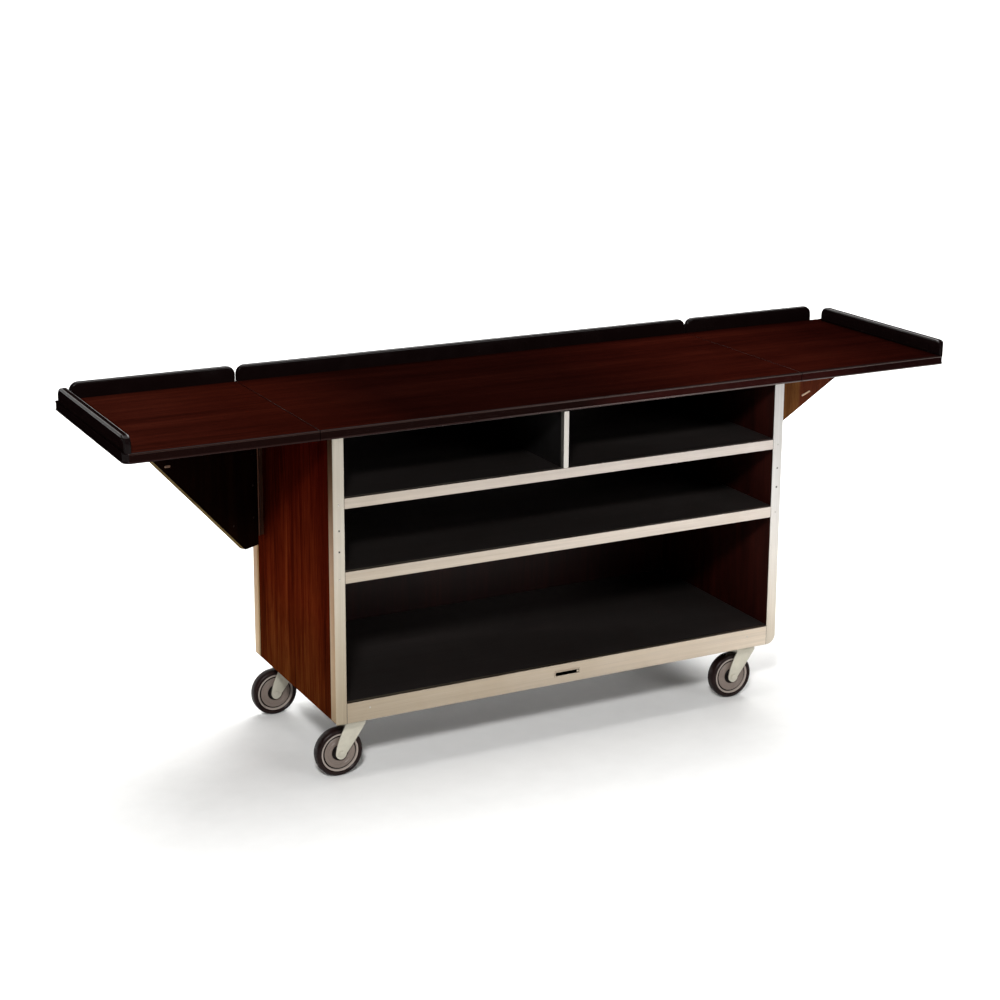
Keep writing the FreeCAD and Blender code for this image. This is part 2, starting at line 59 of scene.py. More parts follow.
class Shader:
    """A node material built with short calls. Sizes in object space are metres."""

    def __init__(self, name):
        self.material = bpy.data.materials.new(name)
        MATERIALS[name] = self.material
        self.material.use_nodes = True
        self.tree = self.material.node_tree
        self.surface = self.tree.nodes["Principled BSDF"]

    def node(self, kind, **settings):
        made = self.tree.nodes.new("ShaderNode" + kind)
        for key, value in settings.items():
            setattr(made, key, value)
        return made

    def feed(self, socket, value):
        if isinstance(value, bpy.types.NodeSocket):
            self.tree.links.new(value, socket)
        else:
            socket.default_value = value

    def set(self, **values):
        for key, value in values.items():
            self.feed(self.surface.inputs[key.replace("_", " ").title().replace("Ior", "IOR")], value)
        return self

    def place(self, scale=(1, 1, 1)):
        coordinate = self.node("TexCoord")
        mapping = self.node("Mapping")
        self.feed(mapping.inputs["Vector"], coordinate.outputs["Object"])
        mapping.inputs["Scale"].default_value = scale
        return mapping.outputs["Vector"]

    def noise(self, vector, scale=1.0, detail=4.0, rough=0.55, distortion=0.0):
        made = self.node("TexNoise")
        self.feed(made.inputs["Vector"], vector)
        made.inputs["Scale"].default_value = scale
        made.inputs["Detail"].default_value = detail
        made.inputs["Roughness"].default_value = rough
        made.inputs["Distortion"].default_value = distortion
        return made.outputs["Fac"]

    def ramp(self, factor, *stops):
        made = self.node("ValToRGB")
        elements = made.color_ramp.elements
        while len(elements) < len(stops):
            elements.new(0.5)
        for element, (position, colour) in zip(elements, stops):
            element.position = position
            element.color = (*colour, 1) if len(colour) == 3 else colour
        self.feed(made.inputs["Fac"], factor)
        return made.outputs["Color"]

    def span(self, factor, low, high, start=0.0, end=1.0):
        made = self.node("MapRange")
        self.feed(made.inputs["Value"], factor)
        made.inputs["From Min"].default_value = start
        made.inputs["From Max"].default_value = end
        made.inputs["To Min"].default_value = low
        made.inputs["To Max"].default_value = high
        return made.outputs["Result"]

    def mix(self, factor, first, second, blend="MIX"):
        made = self.node("Mix", data_type="RGBA", blend_type=blend)
        self.feed(made.inputs["Factor"], factor)
        self.feed(made.inputs[6], first)
        self.feed(made.inputs[7], second)
        return made.outputs[2]

    def math(self, operation, first, second=0.0):
        made = self.node("Math", operation=operation)
        self.feed(made.inputs[0], first)
        self.feed(made.inputs[1], second)
        return made.outputs[0]

    def bump(self, height, distance, strength=1.0):
        made = self.node("Bump")
        made.inputs["Distance"].default_value = distance
        made.inputs["Strength"].default_value = strength
        self.feed(made.inputs["Height"], height)
        self.feed(self.surface.inputs["Normal"], made.outputs["Normal"])
        return self

    def along(self, axis, start, end):
        """0 to 1 between two places along an axis of the object."""
        split = self.node("SeparateXYZ")
        self.feed(split.inputs[0], self.node("TexCoord").outputs["Object"])
        return self.span(split.outputs[axis], 0.0, 1.0, start, end)

    def drift(self, colour, drifts):
        """Multiply a colour gradually along an axis: (axis, start, end, factors)."""
        for axis, start, end, factors in drifts:
            changed = self.mix(1.0, colour, (*factors, 1), "MULTIPLY")
            colour = self.mix(self.along(axis, start, end), colour, changed)
        return colour

    def gloss_by_angle(self, level, full, none, spread=None):
        """Specular level that fades out as the surface turns away from the viewer."""
        facing = self.node("LayerWeight").outputs["Facing"]
        amount = self.span(facing, level, 0.0, full, none)
        if spread:
            axis, start, end, least = spread
            amount = self.math("MULTIPLY", amount, self.span(self.along(axis, start, end), least, 1.0))
        self.set(specular_ior_level=amount)
        return self


def grain(name, along, dark, mid, light, gloss, fade, level=0.4, drifts=()):
    """Wood laminate whose grain runs along one axis: broad bands, streaks, pores."""
    shader = Shader(name)
    across = [1.0, 1.0, 1.0]
    stretch = "XYZ".index(along)
    across[stretch] = 0.06
    base = shader.place(tuple(across))
    bands = shader.noise(base, 9.0, 3.0, 0.5, 0.6)
    streaks = shader.noise(base, 62.0, 5.0, 0.6, 0.9)
    fine = shader.noise(base, 240.0, 3.0, 0.6, 0.2)
    blotch = shader.noise(shader.place(), 3.2, 3.0, 0.5)
    pore_scale = [900.0, 900.0, 900.0]
    pore_scale[stretch] = 34.0
    pores = shader.noise(shader.place(tuple(pore_scale)), 1.0, 2.0, 0.5)
    pores = shader.span(pores, 0.0, 1.0, 0.60, 0.70)
    mixed = shader.math("ADD", shader.math("MULTIPLY", bands, 0.45), shader.math("MULTIPLY", streaks, 0.40))
    mixed = shader.math("ADD", mixed, shader.math("MULTIPLY", fine, 0.15))
    colour = shader.ramp(mixed, (0.36, dark), (0.50, mid), (0.66, light))
    colour = shader.mix(shader.span(blotch, 0.0, 0.35, 0.45, 0.7), colour, (*[c * 0.55 for c in mid], 1))
    colour = shader.mix(shader.math("MULTIPLY", pores, 0.55), colour, (*[c * 0.25 for c in dark], 1))
    shader.set(base_color=shader.drift(colour, drifts))
    shader.gloss_by_angle(level, *fade)
    scuff = shader.noise(shader.place(), 9.0, 3.0, 0.55)
    shader.set(roughness=shader.span(scuff, gloss - 0.02, gloss + 0.05, 0.3, 0.7))
    height = shader.math("SUBTRACT", shader.math("MULTIPLY", streaks, 0.5), pores)
    shader.bump(height, 0.00006, 0.5)


def brushed(name, along, colour, rough, tint=(0.40, 0.32, 0.22), metal=1.0, drifts=()):
    """Satin steel with brushing along one axis, faint smudges and tiny scratches."""
    shader = Shader(name)
    scale = [520.0, 520.0, 520.0]
    scale["XYZ".index(along)] = 5.0
    lines = shader.noise(shader.place(tuple(scale)), 1.0, 4.0, 0.6)
    coarse = [90.0, 90.0, 90.0]
    coarse["XYZ".index(along)] = 1.4
    bands = shader.noise(shader.place(tuple(coarse)), 1.0, 3.0, 0.5)
    smudge = shader.noise(shader.place(), 7.0, 5.0, 0.6, 0.4)
    shade = shader.math("ADD", shader.math("MULTIPLY", lines, 0.6), shader.math("MULTIPLY", bands, 0.4))
    low = tuple(c * 0.86 for c in colour)
    high = tuple(min(1.0, c * 1.08) for c in colour)
    base = shader.ramp(shade, (0.35, low), (0.65, high))
    base = shader.mix(shader.span(smudge, 0.0, 0.35, 0.45, 0.75), base, (*tint, 1))
    base = shader.drift(base, drifts)
    shader.set(base_color=base, metallic=metal)
    shader.set(roughness=shader.span(lines, rough - 0.06, rough + 0.08, 0.3, 0.7))
    shader.set(anisotropic=0.45)
    shader.bump(shade, 0.00006, 0.5)


def bead(name, colour, level, least):
    """A rounded lip of the edge strip, paler than the black edge to paint a highlight line, with gloss duller
    towards the left end where that line is fainter.
    """
    shader = Shader(name)
    shader.set(base_color=(*colour, 1), roughness=0.22, specular_tint=(1.0, 0.80, 0.76, 1))
    shader.gloss_by_angle(level, 0.50, 0.80, ("X", -0.30, 0.30, least))


def plated(name, colour, rough, speckle=260.0, metal=0.9):
    """Plated or painted metal: fine orange-peel, dull patches, small dark pits."""
    shader = Shader(name)
    peel = shader.noise(shader.place(), speckle, 3.0, 0.5)
    dull = shader.noise(shader.place(), 34.0, 5.0, 0.6)
    pits = shader.span(shader.noise(shader.place(), 620.0, 2.0, 0.5), 0.0, 1.0, 0.70, 0.76)
    base = shader.ramp(dull, (0.3, tuple(c * 0.82 for c in colour)), (0.7, colour))
    base = shader.mix(shader.math("MULTIPLY", pits, 0.5), base, (*[c * 0.3 for c in colour], 1))
    shader.set(base_color=base, metallic=metal)
    shader.set(roughness=shader.span(dull, rough - 0.07, rough + 0.12, 0.3, 0.7))
    shader.bump(peel, 0.00008, 0.5)


def moulded(name, colour, rough, texture=0.00005, worn=1.35, level=0.5, fade=(0.6, 1.0), drifts=()):
    """Moulded plastic or rubber: fine texture, faint dust, slightly paler high spots."""
    shader = Shader(name)
    fine = shader.noise(shader.place(), 1400.0, 2.0, 0.5)
    dust = shader.noise(shader.place(), 19.0, 6.0, 0.65)
    base = shader.ramp(dust, (0.35, colour), (0.75, tuple(min(1.0, c * worn) for c in colour)))
    shader.set(base_color=shader.drift(base, drifts))
    shader.gloss_by_angle(level, *fade)
    shader.set(roughness=shader.span(dust, rough - 0.05, rough + 0.12, 0.3, 0.7))
    shader.bump(fine, texture, 0.6)


# Painted light and shade as gradual changes of colour: axis, start, end and the factors reached at the end
# Steel brighter towards the right and paler and cooler upwards: painted light and reflection
PAINTED_LIGHT_RIGHT = ("X", -0.66, 0.66, (1.60, 1.66, 1.84))
PAINTED_LIGHT_UP = ("Z", 0.20, 0.78, (1.13, 1.20, 1.38))
# Flange darker across the middle and towards the top: painted shade
PAINTED_SHADE_MIDDLE = ("Z", 0.20, 0.45, (0.76, 0.63, 0.54))
PAINTED_SHADE_UP = ("Z", 0.50, 0.90, (0.40, 0.34, 0.38))
# Panels darker towards the top, a painted shadow of the leaf, and more orange towards the bottom
grain("mahogany_panel", "Z", (0.016, 0.0014, 0.0005), (0.066, 0.0072, 0.0018),
      (0.150, 0.026, 0.006), 0.36, (0.20, 0.52),
      drifts=[("Z", 0.42, 0.84, (0.50, 0.27, 0.48)),
              ("Z", 0.42, 0.20, (1.03, 1.70, 1.55))])
# The top lighter at its far left end, much darker from the left joint across the middle, lighter again
# towards the right and darker at the far right end: painted sheen and painted shade
grain("mahogany_top", "X", (0.0075, 0.0011, 0.0006), (0.0135, 0.0019, 0.0010),
      (0.0220, 0.0036, 0.0017), 0.26, (0.30, 0.70),
      drifts=[("X", -0.80, -1.05, (1.45, 1.70, 1.80)),
              ("X", -0.66, -0.42, (0.42, 0.50, 0.62)),
              ("X", 0.10, 0.50, (2.20, 1.80, 1.60)),
              ("X", 0.82, 1.05, (0.55, 0.55, 0.60))])
# Inner laminate darkened with painted shade for the sheets inside the bays
grain("inner_panel", "Z", (0.006, 0.0010, 0.0007), (0.016, 0.0024, 0.0014),
      (0.032, 0.005, 0.003), 0.45, (0.20, 0.52))
# Bracket laminate darkened with painted shade: left front face, all back faces and the leaf pads
grain("bracket_face_painted_shade", "Z", (0.0016, 0.0007, 0.0005), (0.0042, 0.0013, 0.0007),
      (0.0100, 0.0030, 0.0012), 0.42, (0.10, 0.50), 0.02)
# Right bracket front face lightened with painted light, darker on its outer part with painted shade
grain("bracket_right_painted_light", "Z", (0.085, 0.024, 0.0065), (0.170, 0.060, 0.014),
      (0.270, 0.110, 0.028), 0.42, (0.10, 0.50), 0.05,
      [("X", 0.938, 0.944, (0.60, 0.32, 0.44))])
grain("bracket_band", "X", (0.060, 0.040, 0.014), (0.125, 0.085, 0.036),
      (0.200, 0.150, 0.062), 0.45, (0.30, 0.65))
moulded("black_edge", (0.0035, 0.0016, 0.0016), 0.16,
        worn=1.2, level=0.08, fade=(0.20, 0.50))
moulded("black_gloss", (0.0030, 0.0014, 0.0014), 0.09,
        worn=1.2, level=0.08, fade=(0.25, 0.60))
moulded("black_sheen", (0.0040, 0.0018, 0.0016), 0.16,
        worn=1.2, level=0.22, fade=(0.50, 0.86))
# Beads paler than the black edge: painted highlight lines along the top's front edge
bead("upper_bead", (0.012, 0.0045, 0.0030), 0.46, 0.28)
bead("lower_bead", (0.012, 0.0045, 0.0038), 1.00, 0.08)
# The band between the beads: near black with a maroon tint, lighter from the middle towards the right and
# darker near the right end: painted reflection and light
moulded("edge_band", (0.0045, 0.0010, 0.0007), 0.24, worn=1.2, level=0.02, fade=(0.20, 0.60),
        drifts=[("X", 0.02, 0.14, (3.4, 2.6, 2.9)), ("X", 0.80, 0.92, (0.40, 0.45, 0.45))])
# Post steel with painted light: brighter towards the right, paler and cooler upwards
brushed("post_steel", "Z", (0.40, 0.335, 0.245), 0.38, (0.34, 0.27, 0.18),
        drifts=[("X", -0.66, 0.66, (1.42, 1.50, 1.70)),
                ("Z", 0.20, 0.62, (1.26, 1.38, 1.62))])
# Flange steel: its tan is a painted warm reflection, and it darkens upwards with painted shade
brushed("flange_steel", "Z", (0.36, 0.25, 0.135), 0.42, (0.24, 0.16, 0.08),
        drifts=[PAINTED_SHADE_MIDDLE, PAINTED_SHADE_UP])
# Rail steel with painted light: brighter towards the right, paler and cooler upwards
brushed("rail_steel", "X", (0.37, 0.305, 0.225), 0.36, (0.31, 0.24, 0.16),
        drifts=[PAINTED_LIGHT_RIGHT, PAINTED_LIGHT_UP])
# Shelf, top rail and divider steel darkened with painted shade inside the bays
brushed("shelf_steel", "X", (0.085, 0.072, 0.068), 0.36, (0.055, 0.040, 0.034), 0.85)
brushed("divider_steel_painted_shade", "Z", (0.09, 0.085, 0.085), 0.38, (0.06, 0.045, 0.04))
plated("hinge_steel", (0.095, 0.040, 0.024), 0.36)
plated("zinc", (0.56, 0.53, 0.44), 0.42, 180.0, 0.45)
plated("bright_steel", (0.52, 0.50, 0.46), 0.26)
plated("dark_steel", (0.06, 0.055, 0.05), 0.42)
plated("brass", (0.62, 0.42, 0.29), 0.34)
moulded("tyre_black", (0.0080, 0.0036, 0.0032), 0.28, 0.00012, 2.0, 0.12, (0.5, 0.9))
moulded("hub_grey", (0.150, 0.118, 0.100), 0.34, 0.00006, 1.3, 0.35)
# Painted shade for the hub's recesses and a painted highlight for its rolled rim
moulded("hub_recess_painted_shade", (0.007, 0.005, 0.0045), 0.40, 0.00006, 1.3, 0.15)
moulded("hub_rim_painted_highlight", (0.29, 0.245, 0.215), 0.30, 0.00006, 1.2, 0.5)


# ---------------------------------------------------------------- mesh helpers

def piece(name, mesh, body, materials, replaced=(), smooth=True, sharp=35.0):
    """An object from a bmesh that rides on a body and shows in the given materials."""
    bmesh.ops.recalc_face_normals(mesh, faces=mesh.faces)
    data = bpy.data.meshes.new(name)
    mesh.to_mesh(data)
    mesh.free()
    made = bpy.data.objects.new(name, data)
    bpy.context.scene.collection.objects.link(made)
    for word in ([materials] if isinstance(materials, str) else materials):
        data.materials.append(MATERIALS[word])
    if smooth:
        data.shade_smooth()
        data.set_sharp_from_angle(angle=math.radians(sharp))
    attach(made, body)
    if replaced:
        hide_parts(*replaced)
    return made


def hull(points):
    """Convex outline of 2D points, anticlockwise, without points closer than 0.05 mm."""
    order = geometry.convex_hull_2d([Vector(p) for p in points])
    ring = [Vector(points[i]) for i in order]
    kept = []
    for spot in ring:
        if not kept or (spot - kept[-1]).length > 0.05 * MM:
            kept.append(spot)
    area = sum(a.x * b.y - b.x * a.y for a, b in zip(kept, kept[1:] + kept[:1]))
    return kept if area > 0 else kept[::-1]


def inset(ring, distance):
    """The outline moved inwards by a distance, with mitred corners."""
    count = len(ring)
    moved = []
    for i in range(count):
        before = (ring[i] - ring[i - 1]).normalized()
        after = (ring[(i + 1) % count] - ring[i]).normalized()
        left = Vector((-before.y, before.x)) + Vector((-after.y, after.x))
        scale = 2.0 / max(0.5, left.length_squared)
        moved.append(ring[i] + left * distance * scale)
    return moved


def band(mesh, first, second, index=0):
    """Quads between two closed rings of the same length."""
    count = len(first)
    for i in range(count):
        after = (i + 1) % count
        face = mesh.faces.new((first[i], first[after], second[after], second[i]))
        face.material_index = index


def rounded_board(ring, thickness, radius, to_world, steps=5):
    """A board from a 2D outline: faces at 0 and thickness, all its edges rounded.

    Material numbers are 0 on the faces, 1 on the rounds and 2 on the flat of the edge.
    """
    mesh = bmesh.new()
    layers = []
    for step in range(steps + 1):
        angle = math.pi / 2 * step / steps
        layers.append((radius * (1 - math.sin(angle)), radius * (1 - math.cos(angle))))
    layers += [(back, thickness - high) for back, high in reversed(layers)]
    rings = []
    for back, high in layers:
        rings.append([mesh.verts.new(to_world(p.x, p.y, high)) for p in inset(ring, back)])
    for number, (low, high) in enumerate(zip(rings, rings[1:])):
        band(mesh, low, high, 2 if number == steps else 1)
    mesh.faces.new(rings[0][::-1])
    mesh.faces.new(rings[-1])
    return mesh


def single(mesh):
    """The mesh with one material all over."""
    for face in mesh.faces:
        face.material_index = 0
    return mesh


def sweep(profile, path, normals, finishes=()):
    """A profile of (outward, up) points carried along a level path."""
    mesh = bmesh.new()
    rings = []
    for spot, outward in zip(path, normals):
        rings.append([mesh.verts.new((spot.x + outward.x * a, spot.y + outward.y * a, b))
                      for a, b in profile])
    count = len(profile)
    for low, high in zip(rings, rings[1:]):
        for i in range(count):
            face = mesh.faces.new((low[i], low[(i + 1) % count], high[(i + 1) % count], high[i]))
            face.material_index = finishes[i] if finishes else 0
    mesh.faces.new(rings[0])
    mesh.faces.new(rings[-1][::-1])
    return mesh


def revolve(mesh, profile, centre, axis="Y", steps=64, index=0):
    """Adds a solid of revolution; profile is (radius, along) points from axis to axis."""
    rings = []
    for radius, along in profile:
        ring = []
        for step in range(steps):
            angle = 2 * math.pi * step / steps
            a, b = radius * math.cos(angle), radius * math.sin(angle)
            offset = dict(X=(along, a, b), Y=(a, along, b), Z=(a, b, along))[axis]
            ring.append(mesh.verts.new(centre + Vector(offset)))
        rings.append(ring)
    for low, high in zip(rings, rings[1:]):
        band(mesh, low, high, index)
    return rings


def cap(mesh, ring, index=0):
    face = mesh.faces.new(ring)
    face.material_index = index


def closed(mesh, profile, centre, axis="Y", steps=24):
    """A solid of revolution with flat ends."""
    rings = revolve(mesh, profile, centre, axis, steps)
    cap(mesh, rings[0])
    cap(mesh, rings[-1])


def arc(cx, cy, radius, start, end, steps):
    """Points on an arc given in degrees."""
    spots = []
    for step in range(steps + 1):
        angle = math.radians(start + (end - start) * step / steps)
        spots.append((cx + radius * math.cos(angle), cy + radius * math.sin(angle)))
    return spots


def ease_edges(thing, width, segments=3):
    """A small bevel on the sharp edges."""
    ease = thing.modifiers.new("ease", "BEVEL")
    ease.width = width
    ease.segments = segments
    ease.limit_method = "ANGLE"
    ease.angle_limit = math.radians(50)
    ease.use_clamp_overlap = True


def finish_node(name, material, width=0.8 * MM, segments=3):
    """A CAD node kept as it is, with its edges eased and a detailed material."""
    node = NODES[name]
    node.data.materials.clear()
    node.data.materials.append(MATERIALS[material])
    weld = node.modifiers.new("weld", "WELD")
    weld.merge_threshold = 0.00001
    if width:
        ease_edges(node, width, segments)
    even = node.modifiers.new("even", "WEIGHTED_NORMAL")
    even.keep_sharp = True
    return node


# ---------------------------------------------------------------- cabinet frame

def kept_nodes():
    """Frame nodes that keep their CAD shape, with the finish each one shows."""
    for side in SIDES:
        finish_node("end_panel_" + side, "mahogany_panel", 0.6 * MM)
        finish_node("leaf_board_" + side, "mahogany_top", 0.2 * MM)
        # Leaf pads take the bracket laminate darkened with painted shade
        finish_node("leaf_pad_" + side, "bracket_face_painted_shade", 1.0 * MM)
        finish_node("leaf_hinge_" + side, "hinge_steel", 0.3 * MM, 2)
        finish_node("bracket_hinge_" + side, "hinge_steel", 0.3 * MM, 2)
    finish_node("back_panel", "mahogany_panel", 0.6 * MM)
    for rail in ("base_rail_front", "base_rail_back", "middle_rail", "upper_rail"):
        finish_node(rail, "rail_steel", 0.9 * MM, 4)
    # Top rails, shelves and divider take steel darkened with painted shade
    finish_node("top_rails", "shelf_steel", 0.8 * MM)
    for sheet in ("base_deck", "middle_shelf", "upper_shelf"):
        finish_node(sheet, "shelf_steel", 0.5 * MM)
    finish_node("divider_panel", "divider_steel_painted_shade", 0.5 * MM)
    finish_node("divider_cap", "post_steel", 1.2 * MM, 4)
    finish_node("centre_board", "mahogany_top", 0.2 * MM)
    finish_node("fixed_hinge_plates", "hinge_steel", 0.3 * MM, 2)
    finish_node("hinge_pins", "bright_steel", 0.3 * MM, 2)
    finish_node("caster_bolsters", "dark_steel", 0.6 * MM)
    finish_node("caster_plates", "zinc", 1.0 * MM)


def posts():
    """Angle posts: a brushed face plate, and a flange over the end panel that is tan with a painted warm
    reflection and darkens upwards with painted shade.
    """
    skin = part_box("post_front_right")[1].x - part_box("end_panel_right")[1].x
    for side, sign in SIDES.items():
        for end in ENDS:
            node = "post_%s_%s" % (end, side)
            low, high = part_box(node)
            face_y = low.y if end == "front" else high.y - skin
            outline = outline_of(node, 0, 2)
            face = rounded_board(outline, skin, 1.2 * MM,
                                 lambda a, b, c, y=face_y: Vector((a, y + c, b)), 5)
            piece("post_face_%s_%s" % (end, side), single(face), "cabinet", "post_steel",
                  [node])
            outer = high.x if sign > 0 else low.x
            foot = min(b for a, b in outline if abs(a - outer) < 0.1 * MM)
            near, far = (low.y + skin, high.y) if end == "front" else (low.y, high.y - skin)
            flat = [(near, foot), (far, foot), (far, high.z), (near, high.z)]
            start = high.x - skin if sign > 0 else low.x
            flange = rounded_board(hull(flat), skin, 0.8 * MM,
                                   lambda a, b, c, x=start: Vector((x + c, a, b)), 4)
            piece("post_flange_%s_%s" % (end, side), single(flange), "cabinet",
                  "flange_steel", [node])


def shade_lining():
    """Laminate sheets inside the bays against the end panels and back, darkened with painted shade."""
    back_low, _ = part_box("back_panel")
    _, left_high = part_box("end_panel_left")
    right_low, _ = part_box("end_panel_right")
    rail_low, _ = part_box("base_rail_front")
    gap, sheet = 0.2 * MM, 1.0 * MM
    front = rail_low.y + 17 * MM
    bays = [("bottom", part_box("base_deck")[1].z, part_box("middle_shelf")[0].z),
            ("middle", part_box("middle_shelf")[1].z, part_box("upper_shelf")[0].z),
            ("upper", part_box("upper_shelf")[1].z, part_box("top_rails")[0].z)]
    for name, low, high in bays:
        low, high = low + gap, high - gap
        tall = [(front, low), (back_low.y - sheet, low), (back_low.y - sheet, high), (front, high)]
        for side, x in (("left", left_high.x), ("right", right_low.x - sheet)):
            mesh = rounded_board(hull(tall), sheet, 0.3 * MM, lambda a, b, c, x=x: Vector((x + c, a, b)), 2)
            piece("lining_%s_%s" % (name, side), single(mesh), "cabinet", "inner_panel")
        wide = [(left_high.x + sheet, low), (right_low.x - sheet, low),
                (right_low.x - sheet, high), (left_high.x + sheet, high)]
        mesh = rounded_board(hull(wide), sheet, 0.3 * MM,
                             lambda a, b, c: Vector((a, back_low.y - sheet + c, b)), 2)
        piece("lining_%s_back" % name, single(mesh), "cabinet", "inner_panel")


def dome_head(mesh, centre, radius, proud, facing, steps=28):
    """A low domed rivet or screw head, facing along Y."""
    profile = [(radius, 0.0), (radius, proud * 0.45)]
    profile += [(radius * math.cos(math.radians(a)), proud * (0.45 + 0.55 * math.sin(math.radians(a))))
                for a in (20, 40, 60, 75)]
    rings = revolve(mesh, [(r, a * facing) for r, a in profile], centre, "Y", steps)
    cap(mesh, rings[-1])
    cap(mesh, rings[0][::-1])


def cross_recess(mesh, centre, radius, facing, index=1):
    """Two thin dark bars that read as the recess of a screw, painting the shade inside it."""
    for turn in (25, 115):
        along = Vector((math.cos(math.radians(turn)), 0, math.sin(math.radians(turn))))
        across = Vector((-along.z, 0, along.x))
        corners = []
        for a, b in ((-1, -0.36), (1, -0.36), (1, 0.36), (-1, 0.36)):
            corners.append(centre + along * radius * 0.6 * a + across * radius * 0.6 * b)
        top = [mesh.verts.new(c + Vector((0, facing * 0.12 * MM, 0))) for c in corners]
        low = [mesh.verts.new(c - Vector((0, facing * 0.3 * MM, 0))) for c in corners]
        band(mesh, low, top, index)
        cap(mesh, top, index)


def post_screws():
    """Domed screws on the posts, and small rivets where the rails meet them."""
    mesh = bmesh.new()
    low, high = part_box("post_screws")
    head = 4.0 * MM
    proud = 1.3 * MM
    x_out = high.x - head
    front, back = low.y + proud, high.y - proud
    for sign in SIDES.values():
        for z in (low.z + head, high.z - head):
            for y, facing in ((front, -1), (back, 1)):
                centre = Vector((sign * x_out, y, z))
                dome_head(mesh, centre, 2.9 * MM, proud, facing)
                cross_recess(mesh, centre + Vector((0, facing * proud, 0)), 3.7 * MM, facing)
    piece("screw_heads", mesh, "cabinet", ["bright_steel", "dark_steel"], ["post_screws"])
    mesh = bmesh.new()
    for rail in ("upper_rail", "middle_rail"):
        rail_low, rail_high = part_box(rail)
        for sign in SIDES.values():
            centre = Vector((sign * x_out, front, (rail_low.z + rail_high.z) / 2 - 2 * MM))
            dome_head(mesh, centre, 2.2 * MM, 0.8 * MM, -1, 20)
    base_low, base_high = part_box("base_rail_front")
    for x in (-0.9, 0.9):
        centre = Vector((x * base_high.x, front, base_low.z + 0.62 * (base_high.z - base_low.z)))
        dome_head(mesh, centre, 2.2 * MM, 0.8 * MM, -1, 20)
    piece("rail_rivets", mesh, "cabinet", "bright_steel")


def seams():
    """Fine dark joints where rails butt against the posts."""
    mesh = bmesh.new()
    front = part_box("base_rail_front")[0].y
    for rail, wide in (("upper_rail", 0.35 * MM), ("middle_rail", 0.35 * MM), ("base_rail_front", 0.55 * MM)):
        low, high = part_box(rail)
        for sign in SIDES.values():
            x = high.x * sign
            corners = [(x - wide, low.z), (x + wide, low.z), (x + wide, high.z), (x - wide, high.z)]
            face = [mesh.verts.new((a, front - 0.06 * MM, b)) for a, b in corners]
            rear = [mesh.verts.new((a, front + 0.6 * MM, b)) for a, b in corners]
            band(mesh, face, rear)
            mesh.faces.new(face)
            mesh.faces.new(rear[::-1])
    piece("rail_seams", mesh, "cabinet", "dark_steel", smooth=False)


def badge():
    """A blank label holder on the base rail: a raised frame round a dark slot."""
    low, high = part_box("badge_plate")
    middle_z = (low.z + high.z) / 2
    half = (high.x - low.x) / 2
    tall = (high.z - low.z) / 2
    wall = high.y - low.y
    mesh = bmesh.new()
    loops = []
    for inward, depth in ((0, wall), (0, 0.3 * MM), (0.3 * MM, 0), (3.2 * MM, 0),
                          (3.7 * MM, 0.4 * MM), (3.9 * MM, wall)):
        ring = []
        a, b, r = half - inward, tall - inward, max(0.4 * MM, 3.0 * MM - inward)
        corners = ((a - r, b - r, 0), (r - a, b - r, 90), (r - a, r - b, 180), (a - r, r - b, 270))
        for cx, cy, start in corners:
            ring += arc(cx, cy, r, start, start + 90, 5)
        loops.append([mesh.verts.new((x, low.y + depth, middle_z + z)) for x, z in ring])
    for outer, inner in zip(loops, loops[1:]):
        band(mesh, outer, inner)
    cap(mesh, loops[-1], 1)
    rivet = Vector((half - 8.0 * MM, low.y + 0.75 * MM, middle_z))
    dome_head(mesh, rivet, 3.4 * MM, 0.9 * MM, -1, 24)
    piece("label_holder", mesh, "cabinet", ["rail_steel", "dark_steel"], ["badge_plate"])


def flange_beads():
    """A narrow rolled bead down the edge of each post's side flange, over the panel, in the flange steel with
    its painted reflection and shade.
    """
    for side, sign in SIDES.items():
        for end in ENDS:
            low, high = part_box("post_%s_%s" % (end, side))
            panel_low, panel_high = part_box("end_panel_" + side)
            x = panel_high.x if sign > 0 else panel_low.x
            y = high.y if end == "front" else low.y
            mesh = bmesh.new()
            radius = 1.9 * MM
            spots = arc(0, 0, radius, -90, 90, 8)
            top = [mesh.verts.new((x + sign * a, y + b, high.z)) for a, b in spots]
            bottom = [mesh.verts.new((x + sign * a, y + b, low.z + 1 * MM)) for a, b in spots]
            for i in range(len(spots) - 1):
                mesh.faces.new((bottom[i], bottom[i + 1], top[i + 1], top[i]))
            mesh.faces.new((bottom[-1], bottom[0], top[0], top[-1]))
            mesh.faces.new(top)
            mesh.faces.new(bottom[::-1])
            piece("flange_bead_%s_%s" % (end, side), mesh, "cabinet", "flange_steel")


# ---------------------------------------------------------------- top

def edge_profile(bottom, top):
    """Section of the black edge: a bead above, a bead below and a shallow channel between."""
    bead = 3.0 * MM
    lip = 0.8 * MM
    inner = -8.0 * MM
    channel = -1.5 * MM
    section = [(inner, bottom), (-bead, bottom)]
    section += arc(-bead, bottom + bead, bead, -90, 60, 8)
    section += [(channel, bottom + 7.0 * MM), (channel, top - 6.4 * MM)]
    section += arc(-bead, top - bead + lip, bead, -60, 90, 8)
    section += [(-5.6 * MM, top + lip), (-7.0 * MM, top + 0.3 * MM), (inner, top + 0.1 * MM)]
    band_low, band_high = bottom + 4.6 * MM, top - 4.4 * MM
    bead_low, bead_back = bottom + 0.6 * MM, -2.2 * MM
    finishes = []
    for (a, b), (c, d) in zip(section, section[1:] + section[:1]):
        middle, out = (b + d) / 2, (a + c) / 2
        if band_low < middle < band_high:
            finishes.append(1)
        elif out > bead_back and bead_low < middle < top:
            finishes.append(2 if middle > (bottom + top) / 2 else 3)
        else:
            finishes.append(0)
    return section, finishes


